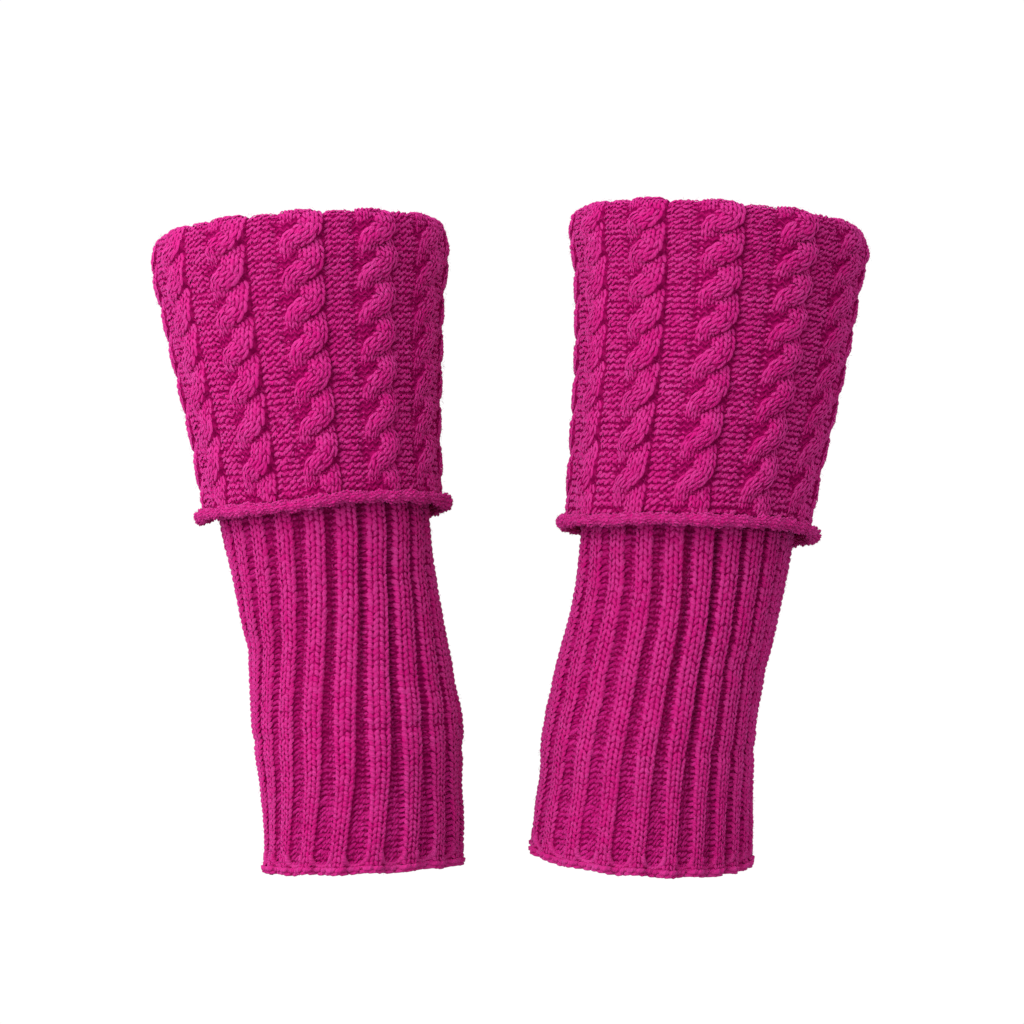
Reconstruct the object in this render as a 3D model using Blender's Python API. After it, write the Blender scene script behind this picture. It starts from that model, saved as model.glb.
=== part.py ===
"""A pair of cable-knit leg warmers, filled out as worn, with turned-down cuffs.

Each leg warmer is a ribbed tube of knitted cloth. Its upper end is a cable-knit
cuff that folds outward over the top and hangs down outside the tube, and the
cuff's free edge curls into a roll.

Frame: +Z up, +X to the viewer's right, the front faces -Y. The origin lies on
the wearer's midline, halfway between the two legs, level with the rolled edges.
Tables and sizes are in millimetres and MM turns them into metres.
"""

import math
from typing import NamedTuple

import bmesh
import bpy
from mathutils import Vector

MM = 0.001

# Cloth and seams.
WALL = 2.0  # thickness of the plain cloth under the ribs and cables
SEAM_GAP = 0.3  # space left between two pieces that are knitted together

# The ribbed leg.
RIBS = 22
RIB_HEIGHT = 2.2  # how far a rib stands above its furrow
RIB_HEIGHT_HIDDEN = 0.8  # the same, pressed flat beneath the cuff
RIB_PRESS_REACH = 12.0  # length of rib that flattens before the cuff's edge
RIB_CREST_SHARE = 0.26  # half the crest's width, as a share of the rib's pitch
RIB_FOOT_SHARE = 0.36  # half the foot's width, likewise
RIB_HEM_NARROWING = 0.22  # share of its width that a rib loses at the hem
RIB_HEM_REACH = 60.0  # height above the hem at which it has its full width
INNER_RING_STRIDE = 3  # the plain inside takes only every third ring
HEM_BAND = 3.0  # height of the cast-on edge
HEM_FLARE = 0.8  # how far the cast-on edge turns out
HEM_FLARE_REACH = 8.0  # height at which the flare has gone

# The cable cuff.
CABLES = 12
CABLE_HEIGHT = 3.8  # crest of a cable above the ground of the cuff
CABLE_WIDTH = 17.5  # foot to foot
CABLE_RISE = 9.5  # how far a crossing climbs from its left to its right
CABLE_SHOULDER = 0.62  # place of a cable's shoulder, from its middle to its foot
CABLE_SQUARENESS = 2.4  # 2 is a round cable, and more is a flatter one
CABLE_FADE = 12.0  # length of cloth over which the cables sink at an end
CABLE_END_SHARE = 0.45  # share of a cable's height that is left at an end
TROUGH_DEPTH = 0.62  # share of a cable's height that is lost between crossings
TROUGH_SHARPNESS = 3  # 1 is a gentle dip, and more is a narrower one
CROSSING_PHASES = (-0.2, 0.0, 0.2, 0.5)  # where the rings of one crossing lie
FOLD_RADIUS = 4.0  # outer radius of the fold at the top
LIP_LENGTH = 7.0  # how far the folded cloth reaches down inside
CUFF_STANDOFF = 2.8  # mean outline of the cuff beyond its ground

# The rolled edge.
ROLL_RADIUS = 2.9
ROLL_OUTSET = 1.8  # centre of the roll outside the ground of the cuff
ROLL_POINTS = 44
ROLL_BEVEL_RESOLUTION = 1

YARN_COLOUR = (0.52, 0.012, 0.19, 1.0)  # a deep fuchsia, linear
YARN_ROUGHNESS = 0.85
RIB_LIGHTNESS = 0.95  # the furrows darken the ribbed leg a little
EDGE_LIGHTNESS = 0.98


class Section(NamedTuple):
    """One cross-section of a leg warmer: an ellipse on a plane tilted about Y."""

    height: float
    centre_x: float
    centre_y: float
    half_width: float
    half_depth: float
    tilt: float  # degrees, positive where the right side is higher
    turn: float  # degrees from the front to the front rib, which twists as it goes down
    bunch: float  # how far the ribs crowd towards the right side


class CuffSection(NamedTuple):
    """Outline of the cuff at one height; its centre and tilt are the tube's."""

    height: float
    half_width: float
    half_depth: float


class EdgeRise(NamedTuple):
    """Rise of the cuff's free edge at an angle from the front, in degrees."""

    angle: float
    rise: float


class Crossings(NamedTuple):
    """Where the cables cross, as lengths of cloth up from the cuff's lower rim."""

    first: float
    step: float
    shrink: float  # half of what each step is shorter than the one below


class Leg(NamedTuple):
    """Everything that differs between the two leg warmers."""

    tube: tuple
    cuff: tuple
    edge: tuple
    crossings: Crossings
    cable_turn: float  # degrees from the front to the nearest cable
    rib_spread: float  # how far the ribs at the front draw apart
    hem_wave: float  # cosine rise of the tube's bottom hem, high at the front


LEFT = Leg(
    tube=(
        Section(109.0, -89.0, 4.0, 54.6, 54.2, 4.1, -1.0, 0.0),
        Section(84.0, -87.6, 4.0, 51.9, 51.8, 3.9, -1.0, 0.0),
        Section(58.0, -85.0, 3.5, 48.9, 49.2, 3.7, -1.0, 0.0),
        Section(30.0, -82.1, 3.0, 46.4, 47.0, 3.6, -1.0, 0.0),
        Section(8.0, -79.8, 2.5, 44.8, 45.2, 3.6, -1.0, 0.0),
        Section(-8.0, -77.9, 2.0, 43.8, 44.2, 3.5, -1.3, -0.02),
        Section(-22.0, -75.5, 1.6, 42.8, 43.4, 3.5, -4.2, -0.03),
        Section(-39.0, -72.5, 1.2, 42.4, 43.2, 3.5, -8.0, -0.045),
        Section(-58.0, -68.8, 0.8, 42.2, 44.2, 3.5, -13.8, -0.075),
        Section(-76.0, -66.3, 0.5, 43.6, 47.0, 3.4, -17.8, -0.11),
        Section(-92.0, -64.6, 0.3, 44.3, 49.2, 3.2, -20.0, -0.105),
        Section(-110.0, -63.3, 0.0, 42.9, 50.4, 2.9, -21.5, -0.15),
        Section(-133.0, -62.0, 0.0, 42.1, 52.2, 2.5, -25.6, -0.21),
        Section(-149.6, -62.4, 0.0, 41.8, 52.8, 2.2, -27.5, -0.23),
    ),
    cuff=(
        CuffSection(118.4, 62.6, 62.0),
        CuffSection(103.0, 63.4, 62.6),
        CuffSection(89.0, 60.8, 60.6),
        CuffSection(72.0, 58.6, 58.8),
        CuffSection(52.0, 56.0, 56.6),
        CuffSection(33.0, 53.6, 54.4),
        CuffSection(14.0, 52.3, 52.8),
        CuffSection(2.0, 52.1, 52.2),
    ),
    edge=(
        EdgeRise(-180.0, -3.0),
        EdgeRise(-120.0, 0.0),
        EdgeRise(-90.0, -1.4),
        EdgeRise(-50.0, 0.1),
        EdgeRise(-20.0, 0.5),
        EdgeRise(-3.0, 1.2),
        EdgeRise(12.0, 2.9),
        EdgeRise(28.0, 2.5),
        EdgeRise(45.0, 1.9),
        EdgeRise(68.0, 0.4),
        EdgeRise(90.0, -1.4),
        EdgeRise(120.0, -4.2),
        EdgeRise(150.0, -4.6),
        EdgeRise(180.0, -3.0),
    ),
    crossings=Crossings(13.3, 16.05, 0.175),
    cable_turn=5.0,
    rib_spread=0.055,
    hem_wave=6.0,
)

RIGHT = Leg(
    tube=(
        Section(112.0, 87.0, 4.0, 55.6, 54.0, -4.8, -10.8, 0.1),
        Section(88.0, 85.6, 4.0, 52.4, 51.2, -4.6, -10.8, 0.1),
        Section(60.0, 82.8, 3.5, 49.8, 48.6, -4.3, -10.8, 0.1),
        Section(30.0, 78.4, 3.0, 47.4, 46.0, -4.0, -10.8, 0.1),
        Section(6.0, 74.9, 2.5, 45.6, 43.8, -3.8, -10.8, 0.1),
        Section(-14.0, 72.9, 2.0, 44.6, 42.4, -3.8, -10.6, 0.12),
        Section(-28.0, 70.9, 1.6, 44.0, 42.0, -3.9, -8.5, 0.165),
        Section(-44.0, 67.8, 1.2, 43.6, 42.4, -4.0, -6.5, 0.2),
        Section(-64.0, 62.9, 0.8, 43.9, 43.4, -4.0, -4.9, 0.2),
        Section(-83.0, 58.5, 0.5, 44.4, 45.0, -3.8, -3.4, 0.17),
        Section(-96.0, 57.0, 0.3, 44.9, 46.2, -3.6, -4.3, 0.175),
        Section(-112.0, 56.0, 0.0, 45.2, 47.0, -3.4, -5.1, 0.225),
        Section(-130.0, 54.9, 0.0, 46.4, 48.4, -3.2, -5.4, 0.26),
        Section(-144.8, 53.9, 0.0, 46.6, 48.8, -3.1, -6.0, 0.26),
    ),
    cuff=(
        CuffSection(122.2, 63.2, 62.8),
        CuffSection(112.0, 64.2, 63.4),
        CuffSection(99.0, 61.6, 61.6),
        CuffSection(83.0, 60.0, 60.2),
        CuffSection(68.0, 58.5, 59.0),
        CuffSection(50.0, 56.8, 57.4),
        CuffSection(34.0, 55.5, 56.0),
        CuffSection(15.0, 53.8, 54.2),
        CuffSection(-5.0, 53.4, 53.4),
    ),
    edge=(
        EdgeRise(-180.0, -6.5),
        EdgeRise(-115.0, -5.0),
        EdgeRise(-90.0, -2.8),
        EdgeRise(-45.0, -0.9),
        EdgeRise(-27.0, 0.7),
        EdgeRise(-13.0, 1.4),
        EdgeRise(2.0, 1.9),
        EdgeRise(17.0, 2.3),
        EdgeRise(34.0, 2.7),
        EdgeRise(48.0, 2.1),
        EdgeRise(90.0, -2.0),
        EdgeRise(115.0, -4.4),
        EdgeRise(180.0, -6.5),
    ),
    crossings=Crossings(13.1, 16.98, 0.33),
    cable_turn=-4.0,
    rib_spread=0.015,
    hem_wave=-0.4,
)


def smooth_row(table, where):
    """Row of a table at a value of its first column, on a curve through the rows."""
    rows = sorted(table)
    where = min(max(where, rows[0][0]), rows[-1][0])
    upper = next(i for i in range(1, len(rows)) if rows[i][0] >= where)
    low, high = rows[upper - 1], rows[upper]
    before = rows[max(upper - 2, 0)]
    after = rows[min(upper + 1, len(rows) - 1)]
    span = high[0] - low[0]
    t = (where - low[0]) / span
    values = []
    for i, (a, b) in enumerate(zip(low, high)):
        slope_a = (b - before[i]) / (high[0] - before[0]) * span
        slope_b = (after[i] - a) / (after[0] - low[0]) * span
        values.append(
            a
            + slope_a * t
            + (3 * (b - a) - 2 * slope_a - slope_b) * t**2
            + (2 * (a - b) + slope_a + slope_b) * t**3
        )
    return type(low)(*values)


def fade(value, start, end):
    """0 before start, 1 after end and a smooth step in between."""
    t = min(max((value - start) / (end - start), 0.0), 1.0)
    return t * t * (3 - 2 * t)


def even_angle(angle, half_width, half_depth):
    """Ellipse parameter at which an even share of the outline has passed."""
    flatness = (half_depth - half_width) / (half_depth + half_width)
    return angle + 0.5 * flatness * math.sin(2 * angle)


def outline_point(leg, height, angle, half_width, half_depth, out=0.0, rise=0.0):
    """Point at an angle from the front, pushed out and raised, in metres."""
    row = smooth_row(leg.tube, height)
    turn = even_angle(angle, half_width, half_depth)
    tilt = math.radians(row.tilt)
    across = (half_width + out) * math.sin(turn)
    back = -(half_depth + out) * math.cos(turn)
    return MM * Vector(
        (
            row.centre_x + across * math.cos(tilt),
            row.centre_y + back,
            height + rise + across * math.sin(tilt),
        )
    )


def closed_wall(name, rings):
    """Solid wall from rings of equal length; the last ring joins the first."""
    mesh = bpy.data.meshes.new(name)
    shell = bmesh.new()
    verts = [[shell.verts.new(point) for point in ring] for ring in rings]
    for ring, following in zip(verts, verts[1:] + verts[:1]):
        count = len(ring)
        for i in range(count):
            j = (i + 1) % count
            shell.faces.new((ring[i], ring[j], following[j], following[i]))
    bmesh.ops.recalc_face_normals(shell, faces=shell.faces)
    shell.to_mesh(mesh)
    shell.free()
    mesh.shade_smooth()
    return bpy.data.objects.new(name, mesh)


def cuff_foot(leg):
    """Height of the cuff's lower rim, just above its rolled edge."""
    return leg.cuff[-1].height + ROLL_RADIUS + SEAM_GAP


def fold_height(leg):
    """Height at which the cuff starts to bend over."""
    return leg.cuff[0].height - FOLD_RADIUS


def tube_top(leg):
    """Height of the leg tube's upper rim, just under the folded lip."""
    return fold_height(leg) - LIP_LENGTH - SEAM_GAP


def rib_angle(leg, ribs, row):
    """Angle from the front of a point so many ribs round from the front rib."""
    even = math.tau * ribs / RIBS
    uneven = row.bunch * (math.cos(even) - 1) + leg.rib_spread * math.sin(even)
    return math.radians(row.turn) + even + uneven


def rib_stations(narrowing):
    """(ribs round, share of the rib's height) for four points to each rib."""
    profile = (
        (-RIB_FOOT_SHARE, 0.0),
        (-RIB_CREST_SHARE, 1.0),
        (RIB_CREST_SHARE, 1.0),
        (RIB_FOOT_SHARE, 0.0),
    )
    return [
        (rib + place * (1 - narrowing), share)
        for rib in range(RIBS)
        for place, share in profile
    ]


def tube_heights(leg):
    """Heights of the leg tube's rings from the bottom hem up to its top rim."""
    low, high, edge = leg.tube[-1].height, tube_top(leg), leg.cuff[-1].height
    bend_rows = [row.height for row in leg.tube if low < row.height < edge]
    hidden_rows = [edge, (edge + high) / 2]
    return [low, low + HEM_BAND] + sorted(bend_rows) + hidden_rows + [high]


def ribbed_leg(name, leg):
    """The ribbed tube, ribs raised outside, plain inside."""
    low, edge = leg.tube[-1].height, leg.cuff[-1].height
    heights = tube_heights(leg)

    def ring(height, outside):
        row = smooth_row(leg.tube, height)
        hidden = fade(height, edge - RIB_PRESS_REACH, edge)
        rib = RIB_HEIGHT + (RIB_HEIGHT_HIDDEN - RIB_HEIGHT) * hidden
        flare = HEM_FLARE * (1 - fade(height, low, low + HEM_FLARE_REACH))
        wave = leg.hem_wave * (1 - fade(height, low, edge))
        narrowing = RIB_HEM_NARROWING * (1 - fade(height, low, low + RIB_HEM_REACH))
        points = []
        for ribs, share in rib_stations(narrowing):
            angle = rib_angle(leg, ribs, row)
            out = flare + (rib * (share - 1) if outside else -rib - WALL)
            rise = wave * math.cos(angle)
            size = (row.half_width, row.half_depth)
            points.append(outline_point(leg, height, angle, *size, out, rise))
        return points

    outer = [ring(height, True) for height in heights]
    inner_heights = heights[:-1:INNER_RING_STRIDE] + [heights[-1]]
    inner = [ring(height, False) for height in reversed(inner_heights)]
    return closed_wall(name, outer + inner)


def cable_stations(leg):
    """(angle, place across the cable from -1 to 1) for five points to a cable."""
    pitch = math.tau / CABLES
    turn = math.radians(leg.cable_turn)
    mean_width = sum(row.half_width for row in leg.cuff) / len(leg.cuff)
    half_cable = CABLE_WIDTH / 2 / mean_width
    return [
        (turn + pitch * cable + half_cable * place, place)
        for cable in range(CABLES)
        for place in (-1.0, -CABLE_SHOULDER, 0.0, CABLE_SHOULDER, 1.0)
    ]


def edge_rise(leg, angle):
    """How far the cuff's free edge rises at an angle from the front."""
    return smooth_row(leg.edge, math.degrees(math.remainder(angle, math.tau))).rise


def cuff_point(leg, along, angle, relief, depth=0.0):
    """Point on the cuff, along its face from the lower rim, over the fold and in.

    relief lifts the point off the ground of the cloth and depth sinks it.
    """
    straight = fold_height(leg) - cuff_foot(leg)
    out = relief - depth
    turn = min(max((along - straight) / FOLD_RADIUS, 0.0), math.pi)
    down = max(along - straight - math.pi * FOLD_RADIUS, 0.0)
    height = cuff_foot(leg) + min(along, straight)
    row = smooth_row(leg.cuff, height)
    inset = CUFF_STANDOFF + FOLD_RADIUS - (FOLD_RADIUS + out) * math.cos(turn)
    rise = (FOLD_RADIUS + out) * math.sin(turn) - down
    rise += edge_rise(leg, angle) * (1 - min(along / straight, 1.0)) ** 2
    size = (row.half_width, row.half_depth)
    return outline_point(leg, height, angle, *size, -inset, rise)


def cable_relief(place, phase):
    """Height of a cable over its ground; phase 0 is the crest of a crossing."""
    across = math.sqrt(1 - abs(place) ** CABLE_SQUARENESS)
    dip = 0.5 - 0.5 * math.cos(math.tau * phase)
    trough = TROUGH_DEPTH * dip**TROUGH_SHARPNESS
    return CABLE_HEIGHT * across * (1 - trough)


def crossing_rows(leg, end):
    """(length along the cuff, phase) of the outer rings that shape the cables."""
    rows = []
    crossing = -1
    while not rows or rows[-1][0] < end:
        for phase in CROSSING_PHASES:
            n = crossing + phase
            first, step, shrink = leg.crossings
            rows.append((first + step * n - shrink * n * n, phase))
        crossing += 1
    return [row for row in rows if ROLL_RADIUS < row[0] < end]


def cable_cuff(name, leg):
    """The turned-down cuff, cables raised outside, plain on its inner face."""
    stations = cable_stations(leg)
    straight = fold_height(leg) - cuff_foot(leg)
    fold = math.pi * FOLD_RADIUS
    crown, total = straight + fold / 2, straight + fold + LIP_LENGTH

    def outer_ring(along, phase):
        points = []
        for angle, place in stations:
            ends = fade(along, 0.0, CABLE_FADE) * fade(crown - along, 0.0, CABLE_FADE)
            slant = math.sin(math.pi * place) * CABLE_RISE / 2
            share = CABLE_END_SHARE + (1 - CABLE_END_SHARE) * ends
            relief = cable_relief(place, phase) * share
            points.append(cuff_point(leg, along + slant * ends, angle, relief))
        return points

    def plain_ring(along, depth):
        return [cuff_point(leg, along, angle, 0.0, depth) for angle, _ in stations]

    outer = [plain_ring(0.0, 0.0)]
    outer += [outer_ring(*row) for row in crossing_rows(leg, crown)]
    outer += [plain_ring(along, 0.0) for along in (straight + fold, total)]
    inner = [plain_ring(along, WALL) for along in (total, straight + fold, crown)]
    inner += [plain_ring(straight * thirds / 3, WALL) for thirds in (3, 2, 1, 0)]
    return closed_wall(name, outer + inner)


def rolled_edge(name, leg):
    """The curled free edge: a closed tube that follows the cuff's lower rim."""
    edge = leg.cuff[-1]
    size = (edge.half_width, edge.half_depth)
    curve = bpy.data.curves.new(name, "CURVE")
    curve.dimensions = "3D"
    curve.bevel_depth = ROLL_RADIUS * MM
    curve.bevel_resolution = ROLL_BEVEL_RESOLUTION
    spline = curve.splines.new("POLY")
    spline.points.add(ROLL_POINTS - 1)
    for k, point in enumerate(spline.points):
        angle = math.tau * k / ROLL_POINTS
        out, rise = ROLL_OUTSET - CUFF_STANDOFF, edge_rise(leg, angle)
        place = outline_point(leg, edge.height, angle, *size, out, rise)
        point.co = (*place, 1.0)
    spline.use_cyclic_u = True
    return bpy.data.objects.new(name, curve)


def yarn_material(name, lightness):
    """Matt wool-like yarn."""
    material = bpy.data.materials.new(name)
    material.use_nodes = True
    shader = material.node_tree.nodes["Principled BSDF"]
    red, green, blue, alpha = YARN_COLOUR
    colour = (red * lightness, green * lightness, blue * lightness, alpha)
    shader.inputs["Base Color"].default_value = colour
    shader.inputs["Roughness"].default_value = YARN_ROUGHNESS
    shader.inputs["Metallic"].default_value = 0.0
    return material


def main():
    for obj in list(bpy.data.objects):
        bpy.data.objects.remove(obj)
    parts = bpy.data.collections.new("leg_warmers")
    bpy.context.scene.collection.children.link(parts)
    makers = (
        ("ribbed_leg", ribbed_leg, yarn_material("rib_knit", RIB_LIGHTNESS)),
        ("cable_cuff", cable_cuff, yarn_material("cable_knit", 1.0)),
        ("rolled_edge", rolled_edge, yarn_material("edge_knit", EDGE_LIGHTNESS)),
    )
    for side, leg in (("left", LEFT), ("right", RIGHT)):
        for kind, make, material in makers:
            piece = make(f"{side}_{kind}", leg)
            piece.data.materials.append(material)
            parts.objects.link(piece)


main()
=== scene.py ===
"""Looks of a pair of knitted leg warmers: yarn stitches laid over thin shells of cloth.

Sizes are millimetres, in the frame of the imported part, and MM turns them into metres.
The tables that shape each leg are the ones that its solids were made from.
"""

import math
from typing import NamedTuple

import bpy
import numpy as np
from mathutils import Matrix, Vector


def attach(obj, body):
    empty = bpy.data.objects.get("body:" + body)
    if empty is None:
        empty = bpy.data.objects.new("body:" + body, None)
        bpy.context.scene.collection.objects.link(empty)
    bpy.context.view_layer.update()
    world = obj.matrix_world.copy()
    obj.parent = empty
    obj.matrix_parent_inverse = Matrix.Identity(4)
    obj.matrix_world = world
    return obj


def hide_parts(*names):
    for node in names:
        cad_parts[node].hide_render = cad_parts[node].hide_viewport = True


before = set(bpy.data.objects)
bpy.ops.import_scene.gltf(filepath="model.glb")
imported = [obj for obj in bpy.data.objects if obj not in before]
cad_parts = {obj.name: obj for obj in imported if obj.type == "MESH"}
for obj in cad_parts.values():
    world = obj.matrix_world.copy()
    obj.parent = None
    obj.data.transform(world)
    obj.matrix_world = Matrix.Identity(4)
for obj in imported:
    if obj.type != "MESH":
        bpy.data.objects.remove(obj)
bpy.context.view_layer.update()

MM = 0.001
TAU = math.tau

# Cloth under the yarn.
WALL = 2.0
YARN_SINK = 0.55  # the cloth lies this far under the outline that the yarn reaches
LEG_WALL = 1.4
LEG_INSIDE = 2.6  # the leg's inside lies at least this far under the outline
CLOTH_ROW = 2.4  # height of a row of stitches on the cloth's reverse

# The ribbed leg, knitted two stitches wide on its ribs and in its furrows.
RIBS = 22
RIB_STITCHES = 4  # round one rib and one furrow
RIB_HALF = 0.3  # half a rib's width at the left side, as a share of the pitch
RIB_SPREADING = 0.3  # how much wider the ribs are at the right side
RIB_SPREAD_START = 10.0  # height above the hem at which they start to widen
RIB_DEPTH = 3.1  # at the left side
RIB_DEPTH_HEM = 1.7
RIB_DEPTH_REACH = 95.0  # height above the hem at which ribs have their full depth
RIB_DEEPENING = 0.75  # how much deeper the furrows are at the right side
RIB_DOME = 0.5
RIB_SIDE = (0.82, 1.32)  # where a rib's side starts and ends, in half widths
RIB_HEM_NARROWING = 0.24
RIB_HEM_REACH = 60.0
RIB_FLATTENING = (2.0, 14.0)  # heights above the cuff's edge between which ribs flatten
HIDDEN_RIB_DEPTH = 0.8
PRESSED_SINES = (-0.5, 0.85)  # of the turn from the front, where ribs start and end closing up
FURROW_CLEARANCE = 1.9  # half widths of a rib that the furrow's stitches keep clear of
FURROW_PRESSING = 0.4  # the same, added where the ribs lie pressed together
FURROW_SLANT = 0.6  # climb of the furrows' stitches to the right
ROW_AT_HEM = 2.2  # height of a row of stitches
ROW_AT_TOP = 2.6
ROW_CHANGE = (-130.0, -20.0)  # heights between which the rows grow
FIRST_ROW = 1.0  # above the hem's band
LAST_ROW = 3.0  # above the cuff's edge, where the cuff hides them

# The hem.
HEM_BAND = 3.0
HEM_FLARE = 0.6
HEM_FLARE_REACH = 8.0
HEM_ROUNDING = 1.1
HEM_ROUNDING_REACH = 2.4
HEM_SCALLOP = 0.3
HEM_RIPPLES = 13
HEM_ROW = 2.0
HEM_CORDS = ((0.7, 0.0, 1.15), (2.2, 0.5, 1.05))  # height, shift in stitches, and size
CORD_SPAN = 1.25  # half the length of a stitch of the cast-on edge, in its half widths
CORD_CLIMB = 0.35
CORD_HALF = 0.85
CORD_THICKNESS = 0.95
LOOP_STEPS = 13
LOOP_SHARE = 0.72  # share of a rib's half width that the loops beside it cover
LOOP_FOOT = 0.4  # lowest point of a loop above the hem's band
LOOP_RISE = 5.0
LOOP_SQUARENESS = 2.2
LOOP_SIZES = (0.8, 0.1, 0.85)  # half width, lift and thickness

# The cable cuff.
CABLES = 12
CABLE_WIDTH = 17.5
CABLE_COLUMNS = 3  # stitches across each of a cable's two strands
GROUND_COLUMNS = 4
GROUND_OVERLAP = 0.8  # how far the ground's stitches reach in under the cables, both sides
GROUND_SINK = 0.25
GROUND_STITCHES = 10  # round one cable and one ground, on the reverse
CROSSING_ROWS = 6
FIRST_CUFF_ROW = -0.8  # lengths along the cloth, from the lower rim
FIRST_CABLE_ROW = -0.6
STRAND_PATH = 4.0  # how far a strand's middle swings to each side
STRAND_EVENNESS = 0.6  # 1 is an even swing, and less is one that waits longer at the sides
STRAND_HALF = 4.6  # half the width of a strand
STRAND_NARROWING = (0.88, 0.2)  # share of its width at its tail, and how much it gains
STRAND_TAIL = 0.2  # height of a strand where it comes up at the left
STRAND_HEAD = 3.5  # height of its head at the right
STRAND_CLIMB = (-0.15, 0.5)  # where it starts and ends climbing, in crossings
STRAND_CROWN = 1.7  # how much lower a strand's edges are than its middle
STRAND_LEAN = 0.85  # share of the path's lean that the rows take
STRAND_SPAN = 1.7  # length of a strand that shows, in crossings
STRAND_COLUMN_SHARE = 0.98
STRAND_SKIRT = 1.2  # a strand's cloth reaches this many half widths, down into the wall
STRAND_SKIRT_DROP = 3.2
HEAD_DIVE = (3.4, 0.86, 1.34)  # depth of a strand's dive, and where it starts and ends
TAIL_DIVE = (1.5, 0.0, 0.38)
CABLE_FOOT_SHARE = 0.45  # share of a cable's height that is left at the rolled edge
CABLE_FOOT_REACH = 9.0
CABLE_FOLD_SHARE = 0.22  # the same at the fold
CABLE_FOLD_REACH = 16.0
CABLE_FOLD_START = 2.0
CABLE_SIDE_PRESSING = 0.5  # how much lower the cables are at the sides
CABLE_SIDE_SINES = (0.5, 0.97)
MOUND_HEIGHT = 1.1
MOUND_SQUARENESS = 2.4
GULLY_DEPTH = 0.6  # of the ground right beside a cable
GULLY_REACH = 1.5
HOLE_DEPTH = 1.7  # added where a strand pulls the ground in
HOLE_PLACES = (0.2, 0.8)  # left and right of a cable, in crossings
GULLY_START = (-1.0, 5.0)
FOLD_RADIUS = 4.0
FOLD_STITCHES_END = 0.92  # share of the fold that has separate stitches
LIP_LENGTH = 7.0
CUFF_STANDOFF = 2.8

# The rolled edge.
ROLL_RADIUS = 2.9
ROLL_OUTSET = 1.8
SEAM_GAP = 0.3
ROLL_YARN = 0.5  # room for the yarn on the roll's cloth
ROLL_START = math.radians(162)  # where the curl leaves the cuff
ROLL_TURNS = 1.23
ROLL_RINGS = 15
ROLL_WIND = 1.05  # how much closer to its middle each turn lies
ROLL_CLOTH = 0.9
ROLL_STITCHES = 120
ROLL_ROWS = 7
ROLL_ROW = 2.3
ROLL_STITCH_HEIGHT = 1.95
ROLL_SHOWN = (-125, 100)  # degrees between which its stitches lie
ROLL_SIDE_SWELL = 0.4
ROLL_SIDE_REACH = 0.03
# Height, waves round, turn of the phase with the curl, and phase.
ROLL_LUMPS = ((0.2, 9, 0, 1), (0.3, 23, 1, 0), (0.34, 41, -1, 0))

# Yarn.
PLY_SHIFT = 40.0  # how far the twist of the plies may differ from stitch to stitch
PLY_LENGTH = 1.3

# Loose fibres to each leg warmer.
LEG_FIBRES = 4000
CUFF_FIBRES = 4000
ROLL_FIBRES = 2000
FIBRE_HALF = 0.035
FIBRE_LENGTHS = (1.0, 3.4)
FIBRE_RISES = (0.2, 1.3)
FIBRE_ROOT = 0.5

# Camera and light.
CAMERA_DISTANCE = 903.0
LENS = 75.6
PAPER_STRENGTH = 1.02
SKY_STRENGTH = 1.1


class Section(NamedTuple):
    """One cross-section of a leg warmer: an ellipse on a plane tilted about Y."""

    height: float
    centre_x: float
    centre_y: float
    half_width: float
    half_depth: float
    tilt: float  # degrees, positive where the right side is higher
    turn: float  # degrees from the front to the front rib, which twists as it goes down
    bunch: float  # how far the ribs crowd towards the right side


class CuffSection(NamedTuple):
    """Outline of the cuff at one height; its centre and tilt are the tube's."""

    height: float
    half_width: float
    half_depth: float


class EdgeRise(NamedTuple):
    """Rise of the cuff's free edge at an angle from the front, in degrees."""

    angle: float
    rise: float


class Crossings(NamedTuple):
    """Where the cables cross, as lengths of cloth up from the cuff's lower rim."""

    first: float
    step: float
    shrink: float


class Crease(NamedTuple):
    """A soft trough round part of the ribbed leg."""

    height: float
    climb: float  # how much higher it lies at the right side than at the front
    reach: float
    depth: float
    around: float  # degrees from the front to the middle of the trough
    facing: tuple  # cosines from its middle at which it fades out and is whole


class Leg(NamedTuple):
    """Everything that differs between the two leg warmers."""

    tube: tuple
    cuff: tuple
    edge: tuple
    crossings: Crossings
    cable_turn: float
    rib_spread: float  # how far the ribs at the front draw apart
    hem_wave: float
    creases: tuple


def table(kind, *rows):
    """Rows of a table with named columns."""
    return tuple(kind(*row) for row in rows)


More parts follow.
